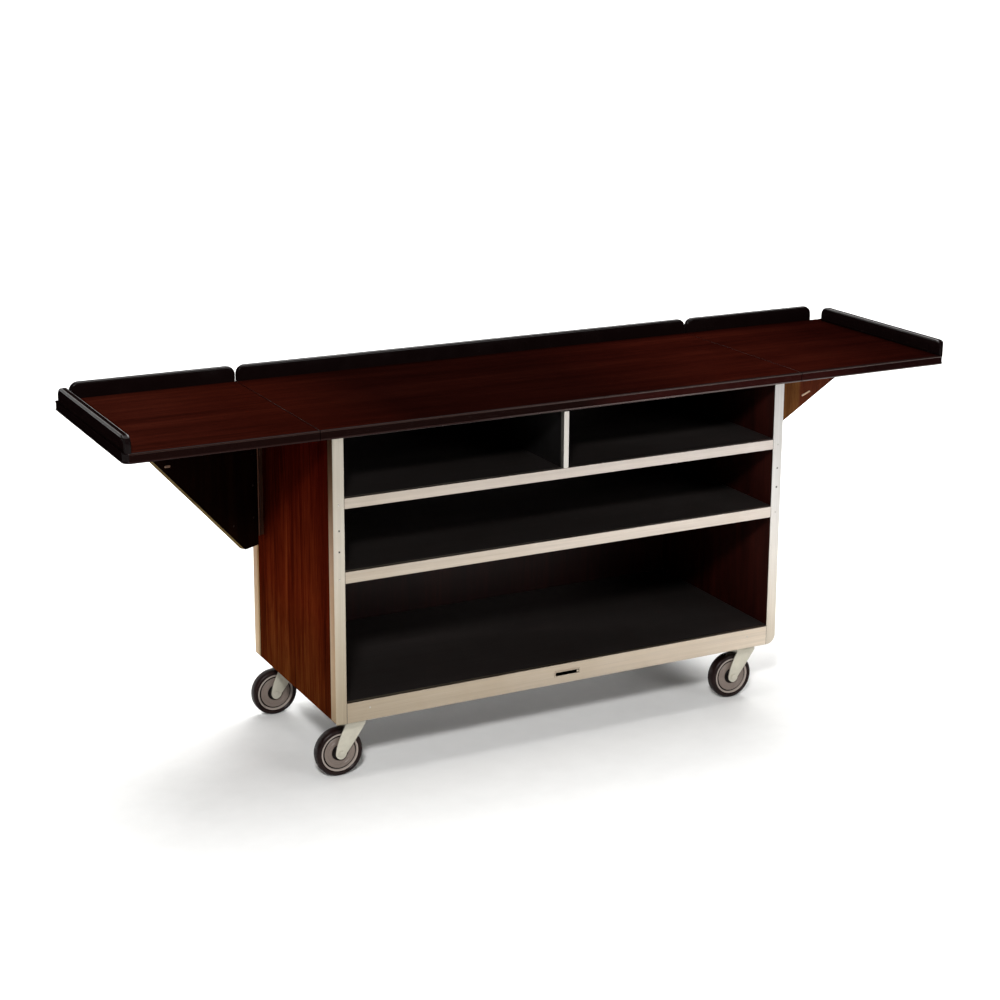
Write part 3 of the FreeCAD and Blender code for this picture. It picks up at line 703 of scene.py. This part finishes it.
CORNER = 20 * MM         # plan radius of the top's corners
CLOSER = 0.6 * MM        # the edge strips reach past the boards at each leaf joint
GUARD_ROUND = 5.5 * MM
EDGE_LOOKS = ["black_edge", "edge_band", "upper_bead", "lower_bead"]


def tuck(point, sign, corner):
    """Draw a point beyond the rounded front corner of the top back onto it."""
    centre = Vector((corner.x - sign * CORNER, corner.y + CORNER, point.z))
    out = point - centre
    if out.x * sign > 0 and out.y < 0 and out.length > CORNER:
        return centre + out.normalized() * CORNER
    return point


def joint_strip(side, sign):
    """A dark strip low in a leaf joint, so that no light passes between the boards."""
    low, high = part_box("centre_board")
    wide, lift, drop = 1.4 * MM, 0.5 * MM, 7 * MM
    strip = [(low.y, low.z + lift), (high.y, low.z + lift), (high.y, high.z - drop), (low.y, high.z - drop)]
    start = high.x if sign > 0 else low.x - wide
    mesh = rounded_board(hull(strip), wide, 0.3 * MM, lambda a, b, c: Vector((start + c, a, b)), 2)
    piece("joint_strip_" + side, single(mesh), "cabinet", "black_edge")


def leaf_rim(side, sign, profile, finishes):
    """The black edge along a leaf's front, round its corner and along its end."""
    low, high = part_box("leaf_edge_" + side)
    inner = low.x - CLOSER if sign > 0 else high.x + CLOSER
    outer = high.x if sign > 0 else low.x
    centre = Vector((outer - sign * CORNER, low.y + CORNER, 0))
    path = [Vector((inner, low.y, 0))]
    normals = [Vector((0, -1, 0))]
    for a in range(0, 91, 9):
        turn = math.radians(a)
        outward = Vector((sign * math.sin(turn), -math.cos(turn), 0))
        path.append(centre + outward * CORNER)
        normals.append(outward)
    path.append(Vector((outer, high.y, 0)))
    normals.append(Vector((sign, 0, 0)))
    mesh = sweep(profile, path, normals, finishes)
    for face in mesh.faces:
        if abs(face.calc_center_median().x) > abs(outer) - 0.7 * CORNER:
            face.material_index = len(EDGE_LOOKS)
    piece("leaf_rim_" + side, mesh, "leaf_" + side, EDGE_LOOKS + ["black_gloss"],
          ["leaf_edge_" + side])


def top_edges():
    """The black edge of the centre board and of both leaves, with the strips in the joints."""
    low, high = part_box("centre_edge")
    profile, finishes = edge_profile(low.z, high.z)
    path = [Vector((low.x - CLOSER, low.y, 0)), Vector((high.x + CLOSER, low.y, 0))]
    piece("front_edge", sweep(profile, path, [Vector((0, -1, 0))] * 2, finishes), "cabinet",
          EDGE_LOOKS, ["centre_edge"])
    for side, sign in SIDES.items():
        joint_strip(side, sign)
        leaf_rim(side, sign, profile, finishes)


def outline_of(node, across, up):
    """Convex outline of a node seen along the third axis, as (across, up) points."""
    return hull([(v.co[across], v.co[up]) for v in NODES[node].data.vertices])


def shine(mesh, top):
    """The rounds along a guard's upper edge catch more light than those at its ends."""
    for face in mesh.faces:
        if face.material_index == 1 and face.calc_center_median().z > top - GUARD_ROUND:
            face.material_index = 3


def guards():
    """Upstanding guards: black boards whose rounded edges are glossier than their faces."""
    looks = ["black_edge", "black_gloss", "black_edge", "black_sheen"]
    for node, name, body in [("centre_guard", "back_guard_centre", "cabinet")] + [
            ("leaf_back_guard_" + side, "back_guard_" + side, "leaf_" + side) for side in SIDES]:
        low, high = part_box(node)
        mesh = rounded_board(outline_of(node, 0, 2), high.y - low.y, GUARD_ROUND,
                             lambda a, b, c, low=low: Vector((a, low.y + c, b)), 6)
        shine(mesh, high.z)
        piece(name, mesh, body, looks, [node])
    for side in SIDES:
        node = "leaf_end_guard_" + side
        low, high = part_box(node)
        mesh = rounded_board(outline_of(node, 1, 2), high.x - low.x, GUARD_ROUND,
                             lambda a, b, c, low=low: Vector((low.x + c, a, b)), 6)
        shine(mesh, high.z)
        corner = Vector((high.x if SIDES[side] > 0 else low.x, low.y, 0))
        for vertex in mesh.verts:
            vertex.co = tuck(vertex.co, SIDES[side], corner)
        piece("end_guard_" + side, mesh, "leaf_" + side, looks, [node])


# ---------------------------------------------------------------- wing brackets

# Reach along the bracket, height over its sloped edge, tilt in degrees, half length and radius
CATCHES = {"left": (369 * MM, 18 * MM, 10, 7.5 * MM, 3.2 * MM),
           "right": (340 * MM, 21 * MM, 33, 11.5 * MM, 2.5 * MM)}
# Screws of a bracket: a row of four near the hinge, and one further out (reach, height)
ROW_REACH, ROW_FOOT, ROW_PITCH = 34 * MM, 80 * MM, 88 * MM
OUTER_SCREW = (117 * MM, 78 * MM)


def wing_catch(side, axis, along, across, spots, surface, step):
    """A small brass bar on the front face, over the sloped lower edge."""
    low_z = min(b for _, b in spots)
    far = max(a for a, _ in spots)
    low_far = min(b for a, b in spots if a > far - 0.1 * MM)
    toe = max(a for a, b in spots if b < low_z + 0.1 * MM)
    slope = math.atan2(low_far - low_z, far - toe)
    mesh = bmesh.new()
    catch_at, over, tilt, length, radius = CATCHES[side]
    middle = Vector((catch_at, low_z + math.tan(slope) * (catch_at - toe) + over))
    bar = []
    for cx, start in ((length, -90), (-length, 90)):
        bar += arc(cx, 0, radius, start, start + 180, 10)
    turned = Matrix.Rotation(math.radians(tilt), 2)
    bar = [middle + turned @ Vector(p) for p in bar]
    rings = []
    for back, proud in ((0, 0), (0, 0.9 * MM), (0.6 * MM, 1.5 * MM)):
        rings.append([mesh.verts.new(axis + along * p.x + across * (surface + step * proud)
                                     + Vector((0, 0, p.y))) for p in inset(bar, back)])
    for outer, inner in zip(rings, rings[1:]):
        band(mesh, outer, inner)
    mesh.faces.new(rings[-1])
    mesh.faces.new(rings[0][::-1])
    piece("wing_catch_" + side, mesh, "bracket_" + side, "brass")


def wing_screws(side, axis, along, across, low_z, half):
    """Low dark screw heads on both faces of a bracket."""
    mesh = bmesh.new()
    profile = [(3.4 * MM, -0.4 * MM), (3.3 * MM, 0.25 * MM), (2.2 * MM, 0.6 * MM), (1.0 * MM, 0.7 * MM)]
    steps = 20
    screws = [(ROW_REACH, low_z + ROW_FOOT + n * ROW_PITCH) for n in range(4)]
    screws.append((OUTER_SCREW[0], low_z + OUTER_SCREW[1]))
    for a, b in screws:
        for face in (-1, 1):
            centre = axis + along * a + across * (half * face) + Vector((0, 0, b))
            rings = []
            for r, h in profile:
                ring = []
                for n in range(steps):
                    turn = 2 * math.pi * n / steps
                    ring.append(mesh.verts.new(centre + along * r * math.cos(turn)
                                               + Vector((0, 0, r * math.sin(turn)))
                                               + across * face * h))
                rings.append(ring)
            for outer, inner in zip(rings, rings[1:]):
                band(mesh, outer, inner)
            mesh.faces.new(rings[-1])
            mesh.faces.new(rings[0][::-1])
    piece("wing_screws_" + side, mesh, "bracket_" + side, "dark_steel")


def wing_brackets():
    """Laminate boards with a tan edge band, screws at the hinge and a catch bar; the left front face and the
    back faces are darkened with painted shade, the right front face lightened with painted light.
    """
    for side, sign in SIDES.items():
        node = "bracket_wing_" + side
        axis = Vector(JOINTS["bracket_fold_" + side]["pos_m"])
        axis.z = 0
        flat = [Vector((v.co.x - axis.x, v.co.y - axis.y, 0)) for v in NODES[node].data.vertices]
        reach = max(p.length for p in flat)
        tips = [p for p in flat if p.length > reach - 0.5 * MM]
        along = sum(tips, Vector()).normalized()
        across = Vector((-along.y, along.x, 0))
        spots = [(p.dot(along), v.co.z) for p, v in zip(flat, NODES[node].data.vertices)]
        half = max(abs(p.dot(across)) for p in flat)

        def to_world(a, b, c):
            return axis + along * a + across * (c - half) + Vector((0, 0, b))

        board = rounded_board(hull(spots), 2 * half, 1.6 * MM, to_world, 4)
        front = -sign
        for face in board.faces:
            offset = (face.calc_center_median() - axis).dot(across)
            if face.material_index == 0 and offset * front < 0:
                face.material_index = 1
        # Left front face in laminate darkened with painted shade, right front face lightened with painted
        # light; the back faces take the shaded one
        look = "bracket_face_painted_shade" if side == "left" else "bracket_right_painted_light"
        piece("wing_" + side, board, "bracket_" + side,
              [look, "bracket_face_painted_shade", "bracket_band"], [node])
        wing_catch(side, axis, along, across, spots, half * front, front)
        wing_screws(side, axis, along, across, min(b for _, b in spots), half)


# ---------------------------------------------------------------- casters

def tyre_profile(radius, half, inner):
    """Crowned tread with soft shoulders, a side bead and a step down to the rim."""
    side = [(inner, half - 3.2 * MM), (inner + 1.2 * MM, half - 1.6 * MM),
            (radius - 10 * MM, half - 0.5 * MM), (radius - 9.0 * MM, half),
            (radius - 6.2 * MM, half - 0.2 * MM),
            (radius - 3.6 * MM, half - 1.6 * MM), (radius - 1.6 * MM, half - 4.0 * MM),
            (radius - 0.5 * MM, half - 7.5 * MM), (radius, half - 12 * MM)]
    return [(r, -y) for r, y in side] + [(r, y) for r, y in reversed(side)]


def hub_side():
    """Half section of the hub from bore to rim: boss, deep well, web rings, rolled rim."""
    return [(6.2, 17.4), (12.6, 17.4), (13.6, 16.6), (14.2, 8.0), (15.5, 6.6), (19.5, 6.6), (21.0, 7.8),
            (21.6, 11.2), (22.6, 12.2), (30.5, 12.2), (31.2, 11.6), (32.2, 11.6), (32.9, 12.2),
            (41.0, 12.2), (41.9, 11.4), (42.4, 9.2), (43.8, 8.6), (45.2, 9.4), (45.8, 12.2), (47.0, 13.8),
            (48.8, 14.1), (50.2, 13.4), (50.8, 12.0)]


def tyre(key, centre, radius, half):
    mesh = bmesh.new()
    rings = revolve(mesh, tyre_profile(radius, half, 50.6 * MM), centre, steps=96)
    band(mesh, rings[-1], rings[0])
    piece("tyre" + key, mesh, "wheel" + key, "tyre_black", ["caster_tyre" + key], sharp=50)


def hub(key, centre):
    """Moulded hub whose rim outside is paler with a painted highlight and whose recesses by the boss and the
    rim are darkened with painted shade.
    """
    mesh = bmesh.new()
    outline = [(r * MM, y * MM) for r, y in hub_side()]
    outline = outline + [(r, -y) for r, y in reversed(outline)]
    rings = revolve(mesh, outline, centre, steps=96)
    band(mesh, rings[-1], rings[0])
    for face in mesh.faces:
        middle = face.calc_center_median() - centre
        out = math.hypot(middle.x, middle.z) / MM
        if out > 45.4:
            face.material_index = 1
        elif 13.7 < out < 21.8 or 41.5 < out < 45.4:
            face.material_index = 2
    piece("hub" + key, mesh, "wheel" + key, ["hub_grey", "hub_rim_painted_highlight", "hub_recess_painted_shade"],
          ["caster_hub" + key], sharp=30)


def axle(key, centre, low_y, high_y):
    """Axle with a washer, a hex nut and a thread tip outside each leg of the fork."""
    mesh = bmesh.new()
    face_radius = 8.6 * MM
    profile = [(9.4 * MM, 0), (9.4 * MM, 0.7 * MM), (9.0 * MM, 0.9 * MM), (face_radius, 0.9 * MM),
               (face_radius, 3.2 * MM), (face_radius * 0.86, 3.8 * MM)]
    for facing, y in ((-1, low_y), (1, high_y)):
        base = Vector((centre.x, y, centre.z))
        rings = revolve(mesh, [(r, h * facing) for r, h in profile[:4]], base, steps=48)
        nut = revolve(mesh, [(r, h * facing) for r, h in profile[3:]], base, steps=6)
        cap(mesh, nut[-1])
        cap(mesh, rings[0][::-1])
        cap(mesh, rings[-1])
        tip = revolve(mesh, [(4.0 * MM, 3.0 * MM * facing), (4.0 * MM, 3.9 * MM * facing)], base, steps=24)
        cap(mesh, tip[-1])
    closed(mesh, [(6 * MM, low_y - centre.y), (6 * MM, high_y - centre.y)], centre)
    piece("axle_bolt" + key, mesh, "swivel" + key, "zinc", ["caster_axle" + key], sharp=30)


def caster(end, side):
    """The turning parts of one caster: tyre, hub, fork and axle."""
    key = "_%s_%s" % (end, side)
    low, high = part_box("caster_tyre" + key)
    centre = (low + high) / 2
    fork_low, fork_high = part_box("caster_fork" + key)
    joint = Vector(JOINTS["caster_swivel" + key]["pos_m"])
    tyre(key, centre, (high.z - low.z) / 2, (high.y - low.y) / 2)
    hub(key, centre)
    fork(key, joint, centre, fork_low, fork_high)
    axle(key, centre, fork_low.y, fork_high.y)


def fork_span(z, centre, joint, bottom_radius, top_half, top_z):
    """Left and right edges of a fork leg at a height, relative to the swivel axis."""
    trail = centre.x - joint.x
    if z < centre.z:
        reach = math.sqrt(max(0.0, bottom_radius ** 2 - (centre.z - z) ** 2))
        return trail - reach, trail + reach
    share = min(1.0, (z - centre.z) / (top_z - centre.z))
    left_bend = share ** 1.55
    right_bend = share ** 0.92
    left = trail - bottom_radius + (bottom_radius - trail - top_half) * left_bend
    right = trail + bottom_radius + (top_half - trail - bottom_radius) * right_bend
    return left, right


def fork(key, joint, centre, low, high):
    """A pressed steel fork: one bent strip, down one leg, over the crown, down the other."""
    wall = 3.2 * MM
    bend = 9.0 * MM
    bottom_radius = 14.5 * MM
    top_half = 28 * MM
    half = (high.y - low.y) / 2 - wall / 2
    middle_y = (high.y + low.y) / 2
    crown_z = high.z - wall / 2
    leg_top = crown_z - bend
    heights = [centre.z - bottom_radius * math.cos(math.radians(a)) for a in range(4, 91, 9)]
    steps = 14
    heights += [centre.z + (leg_top - centre.z) * (n + 1) / steps for n in range(steps)]
    route = [(-half, z) for z in heights]
    route += arc(-half + bend, leg_top, bend, 180, 90, 6)[1:]
    route += [(0.0, crown_z)]
    route += [(-y, z) for y, z in reversed(route[:-1])]
    mesh = bmesh.new()
    rows = []
    across = 9
    for y, z in route:
        left, right = fork_span(min(z, leg_top), centre, joint, bottom_radius, top_half, leg_top)
        row = []
        for n in range(across + 1):
            share = n / across
            x = joint.x + left + (right - left) * share
            swell = 1.1 * MM * math.sin(math.pi * share) * (1 if z < leg_top else 0)
            row.append(mesh.verts.new((x, middle_y + y + math.copysign(swell, y), z)))
        rows.append(row)
    for first, second in zip(rows, rows[1:]):
        for n in range(across):
            mesh.faces.new((first[n], first[n + 1], second[n + 1], second[n]))
    made = piece("fork" + key, mesh, "swivel" + key, "zinc", ["caster_fork" + key])
    thick = made.modifiers.new("thick", "SOLIDIFY")
    thick.thickness = wall
    thick.offset = 0.0
    ease_edges(made, 0.9 * MM)


def swivel_races():
    """The fixed ball race, kingpin and keeper of every caster."""
    mesh = bmesh.new()
    plate_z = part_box("caster_plates")[0].z
    low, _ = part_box("caster_kingpins")
    for side in SIDES:
        for end in ENDS:
            joint = Vector(JOINTS["caster_swivel_%s_%s" % (end, side)]["pos_m"])
            fork_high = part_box("caster_fork_%s_%s" % (end, side))[1].z
            centre = Vector((joint.x, joint.y, 0))
            gap = 0.4 * MM
            tall = plate_z - fork_high - gap
            foot = fork_high + gap
            race = [(5 * MM, foot), (19 * MM, foot), (21.6 * MM, foot + tall * 0.15),
                    (22 * MM, foot + tall * 0.3), (20.6 * MM, foot + tall * 0.45),
                    (20.6 * MM, foot + tall * 0.55), (23.6 * MM, foot + tall * 0.7),
                    (25.5 * MM, plate_z - 0.6 * MM), (25.5 * MM, plate_z)]
            closed(mesh, race, centre, "Z", 64)
            pin = [(9 * MM, low.z + 3.8 * MM), (9 * MM, low.z + 0.4 * MM), (8.4 * MM, low.z), (5 * MM, low.z),
                   (4.2 * MM, low.z + 0.5 * MM)]
            closed(mesh, pin, centre, "Z", 32)
            closed(mesh, [(5 * MM, low.z + 3.5 * MM), (5 * MM, foot)], centre, "Z")
    piece("swivel_races", mesh, "cabinet", "zinc", ["caster_kingpins"], sharp=30)


BOLT_ALONG, BOLT_ACROSS = 38 * MM, 30 * MM   # from the swivel axis to a plate's bolts


def plate_bolts():
    """Hex heads with washers under each caster plate."""
    mesh = bmesh.new()
    low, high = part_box("caster_bolts")
    plate_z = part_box("caster_plates")[0].z
    centres = []
    for side in SIDES:
        for end in ENDS:
            joint = Vector(JOINTS["caster_swivel_%s_%s" % (end, side)]["pos_m"])
            for along in (-BOLT_ALONG, BOLT_ALONG):
                for across in (-BOLT_ACROSS, BOLT_ACROSS):
                    centres.append(Vector((joint.x + along, joint.y + across, 0)))
    for centre in centres:
        closed(mesh, [(8.4 * MM, plate_z), (8.4 * MM, plate_z - 0.9 * MM), (7.9 * MM, plate_z - 1.2 * MM)],
               centre, "Z", 32)
        closed(mesh, [(6.6 * MM, plate_z - 1.2 * MM), (6.6 * MM, low.z + 0.7 * MM), (5.6 * MM, low.z)],
               centre, "Z", 6)
        closed(mesh, [(4 * MM, plate_z), (4 * MM, high.z - 0.5 * MM), (3.4 * MM, high.z)], centre, "Z", 20)
    piece("plate_bolts", mesh, "cabinet", "bright_steel", ["caster_bolts"], sharp=25)


# ---------------------------------------------------------------- stage

def studio_floor():
    """A pale floor that curves up into a backdrop."""
    shader = Shader("studio_floor")
    speck = shader.noise(shader.place(), 14.0, 5.0, 0.6)
    shader.set(base_color=shader.ramp(speck, (0.3, (0.84, 0.84, 0.83)), (0.7, (0.87, 0.87, 0.86))))
    shader.set(roughness=0.75, specular_ior_level=0.2)
    mesh = bmesh.new()
    bend, back = 2.0, 3.0
    route = [(-14.0, 0.0), (back, 0.0)] + [(back + y, bend + z) for y, z in arc(0, 0, bend, -90, 0, 16)]
    route.append((back + bend, 9.0))
    rows = [[mesh.verts.new((x, y, z)) for x in (-16.0, 16.0)] for y, z in route]
    for first, second in zip(rows, rows[1:]):
        mesh.faces.new((first[0], first[1], second[1], second[0]))
    data = bpy.data.meshes.new("studio_floor")
    mesh.to_mesh(data)
    mesh.free()
    data.materials.append(shader.material)
    data.shade_smooth()
    floor = bpy.data.objects.new("studio_floor", data)
    bpy.context.scene.collection.objects.link(floor)


def lights():
    """A dim even surround and four soft disks."""
    world = bpy.data.worlds.new("studio")
    world.use_nodes = True
    world.node_tree.nodes["Background"].inputs["Color"].default_value = (1.0, 0.99, 0.97, 1)
    world.node_tree.nodes["Background"].inputs["Strength"].default_value = 0.11
    bpy.context.scene.world = world
    lamps = [("key", (-3.0, -4.8, 4.2), (0, -0.2, 0.5), 0.8, 330),
             ("front_fill", (2.6, -5.5, 2.4), (0, -0.2, 0.4), 2.8, 80),
             ("overhead", (0.0, 0.5, 4.8), (0, 0, 0), 4.0, 200),
             ("backdrop", (3.0, 2.8, 5.0), (3.4, 4.2, 0.4), 4.5, 470)]
    for name, spot, aim, size, power in lamps:
        light = bpy.data.lights.new(name, "AREA")
        light.shape = "DISK"
        light.size = size
        light.energy = power
        lamp = bpy.data.objects.new(name, light)
        lamp.location = spot
        lamp.rotation_euler = (Vector(aim) - Vector(spot)).to_track_quat("-Z", "Y").to_euler()
        bpy.context.scene.collection.objects.link(lamp)


def camera():
    """The camera at the photograph's viewing angle."""
    camera_data = bpy.data.cameras.new("camera")
    camera_data.lens = 72.39
    camera_data.sensor_width = 36.0
    camera_data.shift_x = 0.0441
    camera_data.shift_y = -0.1096
    camera_data.clip_end = 60.0
    made = bpy.data.objects.new("camera", camera_data)
    made.location = (-2.4695, -4.6079, 2.1449)
    made.rotation_euler = Vector((0.4308, 0.8717, -0.2333)).to_track_quat("-Z", "Y").to_euler()
    bpy.context.scene.collection.objects.link(made)
    bpy.context.scene.camera = made
    bpy.context.scene.view_settings.view_transform = "Standard"


studio_floor()
lights()
camera()
kept_nodes()
posts()
shade_lining()
post_screws()
seams()
badge()
flange_beads()
top_edges()
guards()
wing_brackets()
for end in ENDS:
    for side in SIDES:
        caster(end, side)
swivel_races()
plate_bolts()

bpy.context.view_layer.update()
